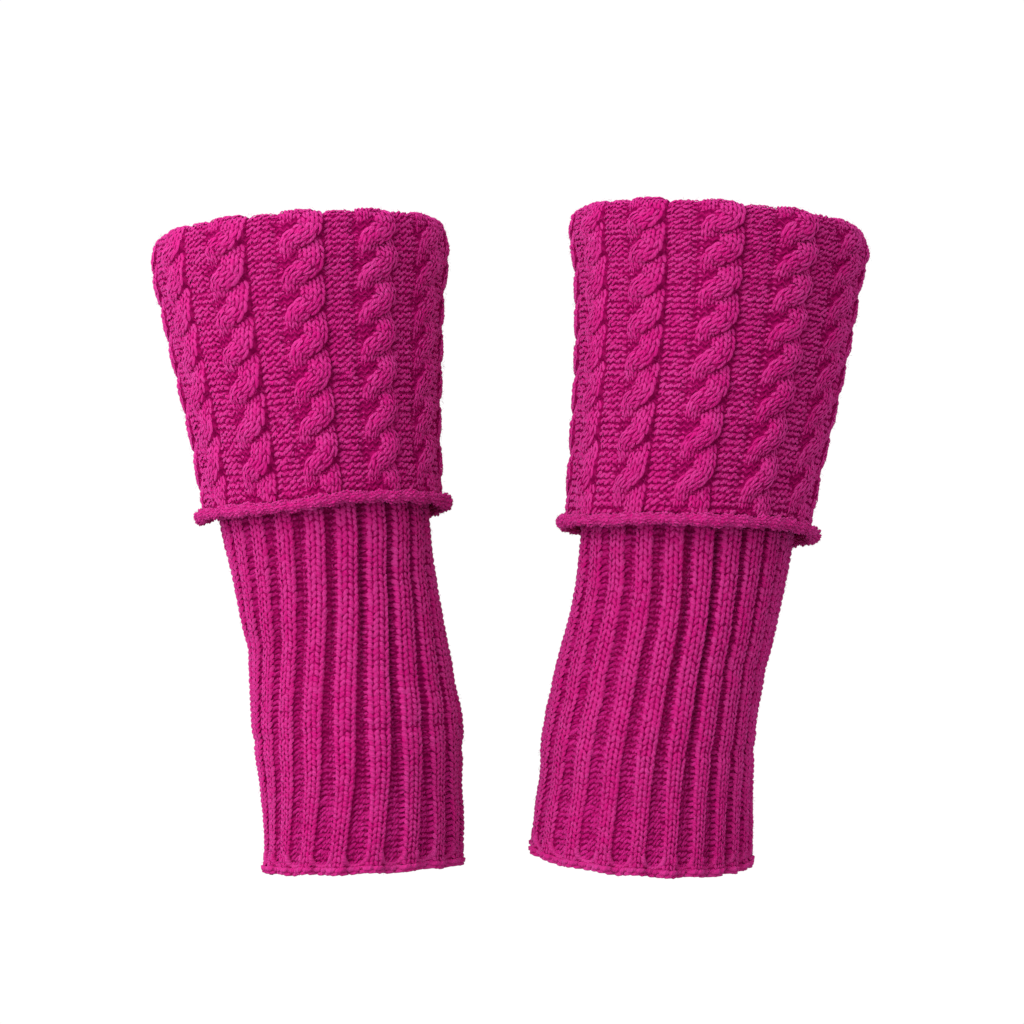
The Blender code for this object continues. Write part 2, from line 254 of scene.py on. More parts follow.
LEFT = Leg(
    tube=table(
        Section,
        (109.0, -89.0, 4.0, 54.6, 54.2, 4.1, -1.0, 0.0),
        (84.0, -87.6, 4.0, 51.9, 51.8, 3.9, -1.0, 0.0),
        (58.0, -85.0, 3.5, 48.9, 49.2, 3.7, -1.0, 0.0),
        (30.0, -82.1, 3.0, 46.4, 47.0, 3.6, -1.0, 0.0),
        (8.0, -79.8, 2.5, 44.8, 45.2, 3.6, -1.0, 0.0),
        (-8.0, -77.9, 2.0, 43.8, 44.2, 3.5, -1.3, -0.02),
        (-22.0, -75.5, 1.6, 42.8, 43.4, 3.5, -4.2, -0.03),
        (-39.0, -72.5, 1.2, 42.4, 43.2, 3.5, -8.0, -0.045),
        (-58.0, -68.8, 0.8, 42.2, 44.2, 3.5, -13.8, -0.075),
        (-76.0, -66.3, 0.5, 43.6, 47.0, 3.4, -17.8, -0.11),
        (-92.0, -64.6, 0.3, 44.3, 49.2, 3.2, -20.0, -0.105),
        (-110.0, -63.3, 0.0, 42.9, 50.4, 2.9, -21.5, -0.15),
        (-133.0, -62.0, 0.0, 42.1, 52.2, 2.5, -25.6, -0.21),
        (-149.6, -62.4, 0.0, 41.8, 52.8, 2.2, -27.5, -0.23),
    ),
    cuff=table(
        CuffSection,
        (118.4, 62.6, 62.0), (103.0, 63.4, 62.6), (89.0, 60.8, 60.6),
        (72.0, 58.6, 58.8), (52.0, 56.0, 56.6), (33.0, 53.6, 54.4),
        (14.0, 52.3, 52.8), (2.0, 52.1, 52.2),
    ),
    edge=table(
        EdgeRise,
        (-180.0, -3.0), (-120.0, 0.0), (-90.0, -1.4), (-50.0, 0.1), (-20.0, 0.5),
        (-3.0, 1.2), (12.0, 2.9), (28.0, 2.5), (45.0, 1.9), (68.0, 0.4),
        (90.0, -1.4), (120.0, -4.2), (150.0, -4.6), (180.0, -3.0),
    ),
    crossings=Crossings(13.3, 16.05, 0.175),
    cable_turn=5.0,
    rib_spread=0.055,
    hem_wave=6.0,
    creases=table(
        Crease,
        (-92.0, 2.0, 2.6, 0.8, -20.0, (-0.4, 0.5)),
        (-98.0, -3.0, 3.4, 0.7, 150.0, (-0.2, 0.6)),
        (-66.0, -9.0, 6.5, 0.7, 70.0, (0.1, 0.8)),
        (-48.0, 7.0, 5.0, 0.6, -75.0, (0.2, 0.9)),
        (-30.0, 4.0, 7.5, 0.6, 25.0, (0.3, 0.9)),
        (-52.0, -6.0, 6.0, 0.8, 195.0, (0.0, 0.8)),
        (-121.0, 4.0, 8.0, 0.5, 60.0, (0.1, 0.8)),
    ),
)

RIGHT = Leg(
    tube=table(
        Section,
        (112.0, 87.0, 4.0, 55.6, 54.0, -4.8, -10.8, 0.1),
        (88.0, 85.6, 4.0, 52.4, 51.2, -4.6, -10.8, 0.1),
        (60.0, 82.8, 3.5, 49.8, 48.6, -4.3, -10.8, 0.1),
        (30.0, 78.4, 3.0, 47.4, 46.0, -4.0, -10.8, 0.1),
        (6.0, 74.9, 2.5, 45.6, 43.8, -3.8, -10.8, 0.1),
        (-14.0, 72.9, 2.0, 44.6, 42.4, -3.8, -10.6, 0.12),
        (-28.0, 70.9, 1.6, 44.0, 42.0, -3.9, -8.5, 0.165),
        (-44.0, 67.8, 1.2, 43.6, 42.4, -4.0, -6.5, 0.2),
        (-64.0, 62.9, 0.8, 43.9, 43.4, -4.0, -4.9, 0.2),
        (-83.0, 58.5, 0.5, 44.4, 45.0, -3.8, -3.4, 0.17),
        (-96.0, 57.0, 0.3, 44.9, 46.2, -3.6, -4.3, 0.175),
        (-112.0, 56.0, 0.0, 45.2, 47.0, -3.4, -5.1, 0.225),
        (-130.0, 54.9, 0.0, 46.4, 48.4, -3.2, -5.4, 0.26),
        (-144.8, 53.9, 0.0, 46.6, 48.8, -3.1, -6.0, 0.26),
    ),
    cuff=table(
        CuffSection,
        (122.2, 63.2, 62.8), (112.0, 64.2, 63.4), (99.0, 61.6, 61.6),
        (83.0, 60.0, 60.2), (68.0, 58.5, 59.0), (50.0, 56.8, 57.4),
        (34.0, 55.5, 56.0), (15.0, 53.8, 54.2), (-5.0, 53.4, 53.4),
    ),
    edge=table(
        EdgeRise,
        (-180.0, -6.5), (-115.0, -5.0), (-90.0, -2.8), (-45.0, -0.9), (-27.0, 0.7),
        (-13.0, 1.4), (2.0, 1.9), (17.0, 2.3), (34.0, 2.7), (48.0, 2.1),
        (90.0, -2.0), (115.0, -4.4), (180.0, -6.5),
    ),
    crossings=Crossings(13.1, 16.98, 0.33),
    cable_turn=-4.0,
    rib_spread=0.015,
    hem_wave=-0.4,
    creases=table(
        Crease,
        (-94.0, -2.5, 2.8, 0.8, 15.0, (-0.3, 0.6)),
        (-88.0, 3.0, 3.6, 0.6, 200.0, (-0.2, 0.6)),
        (-72.0, 8.0, 6.0, 0.8, -60.0, (0.1, 0.8)),
        (-57.0, -6.0, 5.0, 0.6, 80.0, (0.2, 0.9)),
        (-34.0, -4.0, 8.0, 0.6, -15.0, (0.3, 0.9)),
        (-45.0, 6.0, 6.5, 0.7, 165.0, (0.0, 0.8)),
        (-118.0, -5.0, 7.0, 0.5, -50.0, (0.1, 0.8)),
    ),
)


def smooth_rows(table, where):
    """Columns of a table at values of its first column, on a curve through its rows."""
    rows = np.array(sorted(table))
    steps = rows[:, 0]
    where = np.clip(where, steps[0], steps[-1])
    high = np.clip(np.searchsorted(steps, where), 1, len(rows) - 1)
    low = high - 1
    before, after = np.maximum(high - 2, 0), np.minimum(high + 1, len(rows) - 1)
    span = steps[high] - steps[low]
    t = (where - steps[low]) / span
    columns = []
    for column in rows.T:
        a, b = column[low], column[high]
        slope_a = (b - column[before]) / (steps[high] - steps[before]) * span
        slope_b = (column[after] - a) / (steps[after] - steps[low]) * span
        columns.append(
            a
            + slope_a * t
            + (3 * (b - a) - 2 * slope_a - slope_b) * t**2
            + (2 * (a - b) + slope_a + slope_b) * t**3
        )
    return type(table[0])(*columns)


def fade(value, start, end):
    """0 before start, 1 after end and a smooth step in between."""
    t = np.clip((value - start) / (end - start), 0.0, 1.0)
    return t * t * (3 - 2 * t)


def outline(leg, height, angle, half_width, half_depth, out=0.0, rise=0.0):
    """Points at angles from the front, pushed out and raised."""
    row = smooth_rows(leg.tube, height)
    flatness = (half_depth - half_width) / (half_depth + half_width)
    turn = angle + 0.5 * flatness * np.sin(2 * angle)
    tilt = np.radians(row.tilt)
    across = (half_width + out) * np.sin(turn)
    back = -(half_depth + out) * np.cos(turn)
    x = row.centre_x + across * np.cos(tilt)
    z = height + rise + across * np.sin(tilt)
    return np.stack(np.broadcast_arrays(x, row.centre_y + back, z), -1)


def cuff_foot(leg):
    """Height of the cuff's lower rim."""
    return leg.cuff[-1].height + ROLL_RADIUS + SEAM_GAP


def fold_height(leg):
    """Height at which the cuff starts to bend over."""
    return leg.cuff[0].height - FOLD_RADIUS


def cuff_straight(leg):
    """Length of the cuff's cloth from its lower rim to where it bends over."""
    return fold_height(leg) - cuff_foot(leg)


def cuff_length(leg):
    """Length of all the cuff's cloth, over the fold and down inside."""
    return cuff_straight(leg) + math.pi * FOLD_RADIUS + LIP_LENGTH


def tube_top(leg):
    """Height of the leg tube's upper rim."""
    return fold_height(leg) - LIP_LENGTH - SEAM_GAP


def edge_rise(leg, angle):
    """How far the cuff's free edge rises at angles from the front."""
    around = np.degrees(np.mod(angle + math.pi, TAU) - math.pi)
    return smooth_rows(leg.edge, around).rise


def pressed(ribs):
    """How far the ribs lie pressed together: 0 at the left side and 1 at the right."""
    return fade(np.sin(TAU * ribs / RIBS), *PRESSED_SINES)


def rib_half(leg, ribs, height):
    """Half a rib's width as a share of the pitch; the ribs lie flatter at the right side."""
    above = height - leg.tube[-1].height
    narrowing = RIB_HEM_NARROWING * (1 - fade(above, 0.0, RIB_HEM_REACH))
    spreading = RIB_SPREADING * pressed(ribs) * fade(above, RIB_SPREAD_START, RIB_DEPTH_REACH)
    return RIB_HALF * (1 - narrowing) * (1 + spreading)


def leg_point(leg, ribs, height, out):
    """Points on the ribbed leg, so many ribs round from the front one."""
    low, edge = leg.tube[-1].height, leg.cuff[-1].height
    row = smooth_rows(leg.tube, height)
    even = TAU * ribs / RIBS
    uneven = row.bunch * (np.cos(even) - 1) + leg.rib_spread * np.sin(even)
    angle = np.radians(row.turn) + even + uneven
    near_hem = 1 - fade(height - low, 0.0, HEM_FLARE_REACH)
    wave = leg.hem_wave * (1 - fade(height, low, edge)) * np.cos(angle)
    scallop = HEM_SCALLOP * near_hem * (np.cos(TAU * ribs) + np.sin(HEM_RIPPLES * even + 1))
    rounding = HEM_ROUNDING * (1 - fade(height - low, 0.0, HEM_ROUNDING_REACH))
    out = out + HEM_FLARE * near_hem - rounding
    for crease in leg.creases:
        near = (height - crease.height - crease.climb * np.sin(angle)) / crease.reach
        facing = fade(np.cos(angle - math.radians(crease.around)), *crease.facing)
        out = out - crease.depth * facing * np.exp(-(near**2))
    return outline(leg, height, angle, row.half_width, row.half_depth, out, wave + scallop)


def rib_relief(leg, ribs, height):
    """How the cloth of the leg stands against its outline: 0 where the yarn reaches it."""
    above = height - leg.tube[-1].height
    place = np.abs(ribs - np.round(ribs)) / rib_half(leg, ribs, height)
    depth = RIB_DEPTH_HEM + (RIB_DEPTH - RIB_DEPTH_HEM) * fade(above, 0.0, RIB_DEPTH_REACH)
    depth = depth * (1 + RIB_DEEPENING * pressed(ribs))
    hidden = fade(height - leg.cuff[-1].height, *RIB_FLATTENING)
    depth = depth + (HIDDEN_RIB_DEPTH - depth) * hidden
    return -YARN_SINK - depth * fade(place, *RIB_SIDE) - RIB_DOME * np.minimum(place, 1) ** 2


def leg_surface(leg):
    """The ribbed cloth as a function of ribs round and height."""
    return lambda ribs, height: leg_point(leg, ribs, height, rib_relief(leg, ribs, height))


def cuff_point(leg, cables, along, out):
    """Points on the cuff, so many cables round and so far along its cloth."""
    straight = cuff_straight(leg)
    angle = math.radians(leg.cable_turn) + TAU * cables / CABLES
    turn = np.clip((along - straight) / FOLD_RADIUS, 0.0, math.pi)
    down = np.maximum(along - straight - math.pi * FOLD_RADIUS, 0.0)
    height = cuff_foot(leg) + np.minimum(along, straight)
    row = smooth_rows(leg.cuff, height)
    inset = CUFF_STANDOFF + FOLD_RADIUS - (FOLD_RADIUS + out) * np.cos(turn)
    rise = (FOLD_RADIUS + out) * np.sin(turn) - down
    rise = rise + edge_rise(leg, angle) * (1 - np.minimum(along / straight, 1.0)) ** 2
    return outline(leg, height, angle, row.half_width, row.half_depth, -inset, rise)


def cable_pitch(leg):
    """Millimetres from cable to cable on the cuff's mean outline."""
    return TAU / CABLES * sum(row.half_width for row in leg.cuff) / len(leg.cuff)


def crossing_length(leg, crossing):
    """How far along the cloth a crossing lies; a share of one lies between two."""
    first, step, shrink = leg.crossings
    return first + step * crossing - shrink * crossing**2


def roll_radius(turn):
    """Radius of the curled cloth, which winds inward as it goes round."""
    return ROLL_RADIUS - ROLL_YARN - ROLL_WIND * (ROLL_START - turn) / TAU


def roll_point(leg, stitches, turn, radius):
    """Points round the rolled edge; turn is 0 outside and a quarter turn at the top."""
    edge = leg.cuff[-1]
    angle = TAU * stitches / ROLL_STITCHES
    side_swell = np.exp(-(((np.abs(np.sin(angle)) - 1) / ROLL_SIDE_REACH) ** 2))
    radius = radius + ROLL_SIDE_SWELL * side_swell
    for height, waves, twist, phase in ROLL_LUMPS:
        radius = radius + height * np.sin(waves * angle + twist * turn + phase)
    out = ROLL_OUTSET - CUFF_STANDOFF + radius * np.cos(turn)
    rise = edge_rise(leg, angle) + radius * np.sin(turn)
    return outline(leg, edge.height, angle, edge.half_width, edge.half_depth, out, rise)


def roll_surface(leg, sink=0.0):
    """The curled cloth as a function of stitches round and turn."""
    return lambda stitches, turn: roll_point(leg, stitches, turn, roll_radius(turn) - sink)


def piece_from(name, points, quads, coords, material):
    """A smooth piece from points in millimetres; coords holds a vector per corner."""
    mesh = bpy.data.meshes.new(name)
    mesh.vertices.add(len(points))
    mesh.vertices.foreach_set("co", (points * MM).astype(np.float32).ravel())
    mesh.loops.add(quads.size)
    mesh.loops.foreach_set("vertex_index", quads.astype(np.int32).ravel())
    mesh.polygons.add(len(quads))
    mesh.polygons.foreach_set("loop_start", np.arange(0, quads.size, 4, dtype=np.int32))
    mesh.update(calc_edges=True)
    mesh.shade_smooth()
    knit = mesh.attributes.new("knit", "FLOAT_VECTOR", "CORNER")
    knit.data.foreach_set("vector", coords.astype(np.float32).ravel())
    mesh.materials.append(material)
    piece = bpy.data.objects.new(name, mesh)
    bpy.context.scene.collection.objects.link(piece)
    return piece


def wall(name, outer, inner, columns, rows, material):
    """A closed wall from the rings of its outside and inside.

    columns and rows number its stitches for the material.
    """
    rings = np.concatenate([outer, inner[::-1]])
    count, round_count = rings.shape[:2]
    ring, point = np.meshgrid(np.arange(count), np.arange(round_count), indexing="ij")
    corners = [(ring, point), (ring, point + 1), (ring + 1, point + 1), (ring + 1, point)]
    quads = np.stack([(r % count) * round_count + p % round_count for r, p in corners], -1)
    tall = np.concatenate([rows, rows[::-1], rows[:1]])
    wide = np.append(columns, columns[0] + columns[-1] + columns[1] - 2 * columns[0])
    half = np.full(ring.shape, 0.5)
    coords = np.stack([np.stack([wide[p], tall[r], half], -1) for r, p in corners], -2)
    return piece_from(name, rings.reshape(-1, 3), quads.reshape(-1, 4), coords, material)


class Stitches(NamedTuple):
    """Stitches on a surface, one entry to a stitch."""

    u: np.ndarray  # place round, in the surface's units
    v: np.ndarray  # place along
    wide: np.ndarray  # half a stitch's width, in millimetres
    high: np.ndarray  # height of its row
    mm_u: np.ndarray  # millimetres to one unit of u
    mm_v: np.ndarray


class Yarn(NamedTuple):
    """Lengths of yarn that were laid, as arrays for one piece."""

    points: np.ndarray
    quads: np.ndarray
    coords: np.ndarray


def raised(surface, u, v, mm_u, mm_v, up):
    """Points lifted off a surface along its normal."""
    step = 0.05
    base = surface(u, v)
    along_u = surface(u + step / mm_u, v) - base
    along_v = surface(u, v + step / mm_v) - base
    normal = np.cross(along_u, along_v)
    normal /= np.linalg.norm(normal, axis=-1, keepdims=True)
    return base + normal * up[..., None]


def patch_quads(count, rings, ends):
    """Faces of so many separate grids of points."""
    ring, end = np.meshgrid(np.arange(rings - 1), np.arange(ends - 1), indexing="ij")
    corners = [(ring, end), (ring, end + 1), (ring + 1, end + 1), (ring + 1, end)]
    flat = np.stack([(r * ends + e).ravel() for r, e in corners], -1)
    return (np.arange(count)[:, None, None] * (rings * ends) + flat).reshape(-1, 4)


def lay_yarn(surface, at, path_u, path_v, half, lift, thick, faces, random):
    """Half-round lengths of yarn, one to a stitch, on a surface.

    path_u and path_v are each length's line, in millimetres from its stitch.
    """
    run_u, run_v = np.gradient(path_u, axis=1), np.gradient(path_v, axis=1)
    run = np.hypot(run_u, run_v)
    turn = np.linspace(-math.pi / 2, math.pi / 2, faces + 1)
    across = half[..., None] * np.sin(turn)
    mm_u, mm_v = at.mm_u[:, None, None], at.mm_v[:, None, None]
    u = at.u[:, None, None] + (path_u[..., None] + (run_v / run)[..., None] * across) / mm_u
    v = at.v[:, None, None] + (path_v[..., None] - (run_u / run)[..., None] * across) / mm_v
    up = lift[..., None] + thick[..., None] * np.cos(turn)
    points = raised(surface, u, v, mm_u, mm_v, up)
    quads = patch_quads(*points.shape[:3])
    coords = np.empty(points.shape)
    coords[..., 0] = (np.cumsum(run, axis=1) + PLY_SHIFT * random[:, None])[..., None]
    coords[..., 1] = turn / math.pi
    coords[..., 2] = random[:, None, None]
    return Yarn(points.reshape(-1, 3), quads, coords.reshape(-1, 3)[quads])


def joined(lengths):
    """Several lots of yarn as one."""
    starts = np.cumsum([0] + [len(lot.points) for lot in lengths[:-1]])
    return Yarn(
        np.concatenate([lot.points for lot in lengths]),
        np.concatenate([lot.quads + start for lot, start in zip(lengths, starts)]),
        np.concatenate([lot.coords for lot in lengths]),
    )


LEG_STEPS = np.linspace(0.0, 1.0, 5)
LEG_SHAPE = np.array([0.42, 0.9, 1.0, 0.86, 0.4])  # width along a leg of a stitch
LEG_LIFT = np.array([-0.4, 0.0, 0.16, 0.04, -0.4])
LEG_FOOT, LEG_HEAD = 0.14, 0.84  # place across the stitch, in half widths
LEG_REACH = 0.68  # half a leg's length, in rows
LEG_HALF = 0.38
LEG_THICKNESS = 0.44
THICK_WIDTH, THICKEST = 1.6, 1.15  # a stitch of this half width is 1 thick
ARC_STEPS = np.linspace(-1.0, 1.0, 5)
ARC_SHAPE = np.array([0.45, 0.95, 1.0, 0.95, 0.45])
ARC_LIFT = np.array([-0.65, 0.1, 0.35, 0.1, -0.65])
ARC_HALF = 0.26
ARC_THICKNESS = 0.5
ARCS = ((0.0, 0.0, 1, 1.0), (1.0, -0.5, -1, 0.86))  # shifts across and up, way it bows, and size


def uneven(rng, count, spread):
    """A small random difference for each stitch."""
    return rng.normal(0, spread, (count, 1))


def knit_stitches(surface, at, rng, sense=1.0):
    """Two legs to a stitch, close together at the foot and apart at the head."""
    lots = []
    count = len(at.u)
    wide, high = at.wide[:, None], at.high[:, None]
    for side in (-1.0, 1.0):
        wobble = 1 + uneven(rng, count, 0.08)
        lean = uneven(rng, count, 0.12) * (LEG_STEPS - 0.5) + uneven(rng, count, 0.04)
        path_u = wide * (side * (LEG_FOOT + (LEG_HEAD - LEG_FOOT) * LEG_STEPS) + lean)
        rise = LEG_REACH * (2 * LEG_STEPS - 1) * wobble + uneven(rng, count, 0.06)
        path_v = sense * high * rise
        half = LEG_HALF * wide * LEG_SHAPE * wobble
        thick = LEG_THICKNESS * LEG_SHAPE * np.minimum(wide / THICK_WIDTH, THICKEST)
        lift = LEG_LIFT + uneven(rng, count, 0.07)
        random = rng.random(count)
        lots.append(lay_yarn(surface, at, path_u, path_v, half, lift, thick, 2, random))
    return joined(lots)


def purl_stitches(surface, at, rng, sense=1.0, plump=1.0, slant=0.0, reach=0.85, bow=0.42):
    """A round head and a smaller loop between heads for each stitch."""
    lots = []
    count = len(at.u)
    wide, high = at.wide[:, None], at.high[:, None]
    for shift_u, shift_v, way, size in ARCS:
        wobble = 1 + uneven(rng, count, 0.12)
        path_u = wide * (shift_u + reach * size * ARC_STEPS * wobble)
        arch = bow * way * (1 - ARC_STEPS**2)
        tilt = slant + uneven(rng, count, 0.2)
        path_v = sense * high * (shift_v + arch * wobble + uneven(rng, count, 0.08))
        path_v = path_v + wide * tilt * ARC_STEPS
        shape = plump * size * ARC_SHAPE * wobble
        half, thick = ARC_HALF * high * shape, ARC_THICKNESS * shape
        lift = ARC_LIFT + uneven(rng, count, 0.12)
        random = rng.random(count)
        lots.append(lay_yarn(surface, at, path_u, path_v, half, lift, thick, 2, random))
    return joined(lots)


def fuzz(surface, at, rng):
    """Loose fibres that stand off the yarn."""
    count = len(at.u)
    steps = np.linspace(0.0, 1.0, 3)
    heading = rng.uniform(0, TAU, (count, 1)) + uneven(rng, count, 0.9) * steps
    length = rng.uniform(*FIBRE_LENGTHS, (count, 1)) * steps
    path_u, path_v = length * np.cos(heading), length * np.sin(heading)
    half, flat = np.full(path_u.shape, FIBRE_HALF), np.zeros(path_u.shape)
    lift = FIBRE_ROOT + rng.uniform(*FIBRE_RISES, (count, 1)) * steps**0.8
    return lay_yarn(surface, at, path_u, path_v, half, lift, flat, 1, rng.random(count))


def scattered(rng, count, u, v, mm_u, mm_v):
    """Places spread at random over a surface, for fibres."""
    ones = np.ones(count)
    place_u, place_v = rng.uniform(*u, count), rng.uniform(*v, count)
    return Stitches(place_u, place_v, ones, ones, mm_u * ones, mm_v * ones)


def pitch_round(section, count):
    """Millimetres round a section for each of so many."""
    return TAU / count * (section.half_width + section.half_depth) / 2


def leg_rows(leg):
    """(height, height of the row) for each row of stitches that shows on a leg."""
    low, edge = leg.tube[-1].height, leg.cuff[-1].height
    rows = []
    height = low + HEM_BAND + FIRST_ROW
    while height < edge + LAST_ROW:
        row = ROW_AT_HEM + (ROW_AT_TOP - ROW_AT_HEM) * float(fade(height, *ROW_CHANGE))
        rows.append((height, row))
        height += row
    return np.array(rows)


def leg_stitches(leg, ribs, offset, wide):
    """Stitches in columns of the ribbed leg; offset and wide are functions of place."""
    rows = leg_rows(leg)
    rib, row = np.meshgrid(np.asarray(ribs, float), np.arange(len(rows)), indexing="ij")
    rib, row = rib.ravel(), row.ravel()
    height, high = rows[row, 0], rows[row, 1]
    pitch = pitch_round(smooth_rows(leg.tube, height), RIBS)
    place, half = rib + offset(rib, height), wide(rib, height) * pitch
    return Stitches(place, height, half, high, pitch, np.ones(len(height)))


def rib_yarn(leg, rng):
    """The knit stitches of the ribs, two columns to a rib."""
    lots = []
    for side in (-0.5, 0.5):
        at = leg_stitches(
            leg, range(RIBS),
            lambda r, h: side * rib_half(leg, r, h),
            lambda r, h: rib_half(leg, r, h) / 2,
        )
        lots.append(knit_stitches(leg_surface(leg), at, rng))
    return joined(lots)


def furrow_yarn(leg, rng):
    """The purl stitches of the furrows, two columns to a furrow."""

    def furrow(r, h):
        clearance = FURROW_CLEARANCE + FURROW_PRESSING * pressed(r + 0.5)
        return 1 - clearance * rib_half(leg, r + 0.5, h)

    lots = []
    for side in (-0.5, 0.5):
        at = leg_stitches(
            leg, range(RIBS),
            lambda r, h: 0.5 + side * furrow(r, h) / 2,
            lambda r, h: furrow(r, h) / 4,
        )
        surface = leg_surface(leg)
        lots.append(purl_stitches(surface, at, rng, plump=1.1, slant=FURROW_SLANT, bow=0.3))
    return joined(lots)


def hem_yarn(leg, rng):
    """The cast-on edge and the loops that carry it round under each furrow."""
    low = leg.tube[-1].height
    surface = leg_surface(leg)
    lots = []
    count = RIB_STITCHES * RIBS
    pitch = pitch_round(smooth_rows(leg.tube, np.full(count, low)), RIBS)
    for level, shift, size in HEM_CORDS:
        at = Stitches(
            (np.arange(count) + shift) / RIB_STITCHES, np.full(count, low + level),
            pitch / (2 * RIB_STITCHES), np.full(count, HEM_ROW), pitch, np.ones(count),
        )
        path_u = at.wide[:, None] * CORD_SPAN * ARC_STEPS
        path_v = CORD_CLIMB * ARC_STEPS * (1 + uneven(rng, count, 0.2))
        shape = size * ARC_SHAPE * np.ones((count, 1))
        half, thick = CORD_HALF * shape, CORD_THICKNESS * shape
        lift = ARC_LIFT * 0.6 + 0.25 + uneven(rng, count, 0.07)
        random = rng.random(count)
        lots.append(lay_yarn(surface, at, path_u, path_v, half, lift, thick, 3, random))
    steps = np.linspace(-1, 1, LOOP_STEPS)
    furrows = np.arange(RIBS) + 0.5
    pitch = pitch[:RIBS]
    at = Stitches(
        furrows, np.full(RIBS, low + HEM_BAND), pitch, np.full(RIBS, HEM_ROW), pitch, np.ones(RIBS)
    )
    half_gap = pitch * (0.5 - LOOP_SHARE * rib_half(leg, furrows, low))
    path_u = half_gap[:, None] * np.sin(steps * math.pi / 2)
    path_v = LOOP_FOOT + LOOP_RISE * np.abs(steps) ** LOOP_SQUARENESS * np.ones((RIBS, 1))
    half, lift, thick = (np.full(path_u.shape, size) for size in LOOP_SIZES)
    lots.append(lay_yarn(surface, at, path_u, path_v, half, lift, thick, 3, rng.random(RIBS)))
    return joined(lots)


def cuff_crown(leg):
    """Length of the cuff's cloth from its lower rim to the top of the fold."""
    return cuff_straight(leg) + math.pi * FOLD_RADIUS / 2


def cuff_end(leg):
    """How far along its cloth the cuff's separate stitches go, over the fold."""
    return cuff_straight(leg) + math.pi * FOLD_RADIUS * FOLD_STITCHES_END


def cable_share(leg, cables, along):
    """How much of their height cables keep: they sink at both ends and at the sides."""
    facing = np.abs(np.sin(math.radians(leg.cable_turn) + TAU * cables / CABLES))
    sides = 1 - CABLE_SIDE_PRESSING * fade(facing, *CABLE_SIDE_SINES)
    foot = CABLE_FOOT_SHARE + (1 - CABLE_FOOT_SHARE) * fade(along, 0.0, CABLE_FOOT_REACH)
    left = cuff_crown(leg) + CABLE_FOLD_START - along
    fold = CABLE_FOLD_SHARE + (1 - CABLE_FOLD_SHARE) * fade(left, 0.0, CABLE_FOLD_REACH)
    return sides * foot * fold


def crossing_phase(leg, along):
    """Share of a crossing's length that has passed at a place along the cloth."""
    first, step, shrink = leg.crossings
    return np.mod((step - np.sqrt(step**2 - 4 * shrink * (along - first))) / (2 * shrink), 1.0)


def ground_relief(leg, cables, along):
    """The cloth of the cuff, pulled in beside the cables and swelling under them."""
    side = (cables - np.round(cables)) * cable_pitch(leg)
    beside = (np.abs(side) - CABLE_WIDTH / 2) / GULLY_REACH
    pull = np.where(side > 0, HOLE_PLACES[1], HOLE_PLACES[0])
    hole = (0.5 + 0.5 * np.cos(TAU * (crossing_phase(leg, along) - pull))) ** 2
    dome = 1 - np.abs(2 * side / CABLE_WIDTH) ** MOUND_SQUARENESS
    swell = MOUND_HEIGHT * np.sqrt(np.maximum(dome, 0.0)) * cable_share(leg, cables, along)
    sunk = (GULLY_DEPTH + HOLE_DEPTH * hole) * fade(along, *GULLY_START)
    return swell - GROUND_SINK - sunk * np.exp(-(beside**2))


def ground_surface(leg):
    """The cuff's cloth as a function of cables round and length along it."""
    return lambda cables, along: cuff_point(leg, cables, along, ground_relief(leg, cables, along))


def cuff_rows(leg):
    """(length along the cloth, height of the row) of the cuff's rows of stitches."""
    rows = []
    crossing = -1.0
    while crossing_length(leg, crossing) < cuff_end(leg):
        along = crossing_length(leg, crossing)
        high = crossing_length(leg, crossing + 1 / CROSSING_ROWS) - along
        if along > FIRST_CUFF_ROW:
            rows.append((along, high))
        crossing += 1 / CROSSING_ROWS
    return np.array(rows)


def ground_yarn(leg, rng):
    """The purl stitches between the cables."""
    rows = cuff_rows(leg)
    gap = 1 - (CABLE_WIDTH - GROUND_OVERLAP) / cable_pitch(leg)
    places = (np.arange(GROUND_COLUMNS) + 0.5) / GROUND_COLUMNS - 0.5
    cable, column, row = np.meshgrid(
        np.arange(CABLES) + 0.5, places * gap, np.arange(len(rows)), indexing="ij"
    )
    along, high = rows[row.ravel(), 0], rows[row.ravel(), 1]
    pitch = pitch_round(smooth_rows(leg.cuff, cuff_foot(leg) + along), CABLES)
    wide = pitch * gap / GROUND_COLUMNS / 2
    at = Stitches((cable + column).ravel(), along, wide, high, pitch, np.ones(len(along)))
    surface = ground_surface(leg)
    return purl_stitches(surface, at, rng, sense=-1.0, plump=0.95, slant=0.34, reach=0.95)


def strand_swing(along):
    """Place of a strand's middle across its cable, from -1 to 1, and its rate of change."""
    phase = math.pi / 2 * np.cos(math.pi * along)
    even = np.sin(phase)
    rate = -(math.pi**2) / 2 * np.sin(math.pi * along) * np.cos(phase)
    wait = 1 - STRAND_EVENNESS
    swing = STRAND_EVENNESS * even + wait * np.sin(math.pi / 2 * even)
    slope = STRAND_EVENNESS + wait * math.pi / 2 * np.cos(math.pi / 2 * even)
    return -swing, -rate * slope


def strand_climb(leg, crossing):
    """Length of cloth to one crossing, at a crossing."""
    return leg.crossings.step - 2 * leg.crossings.shrink * crossing


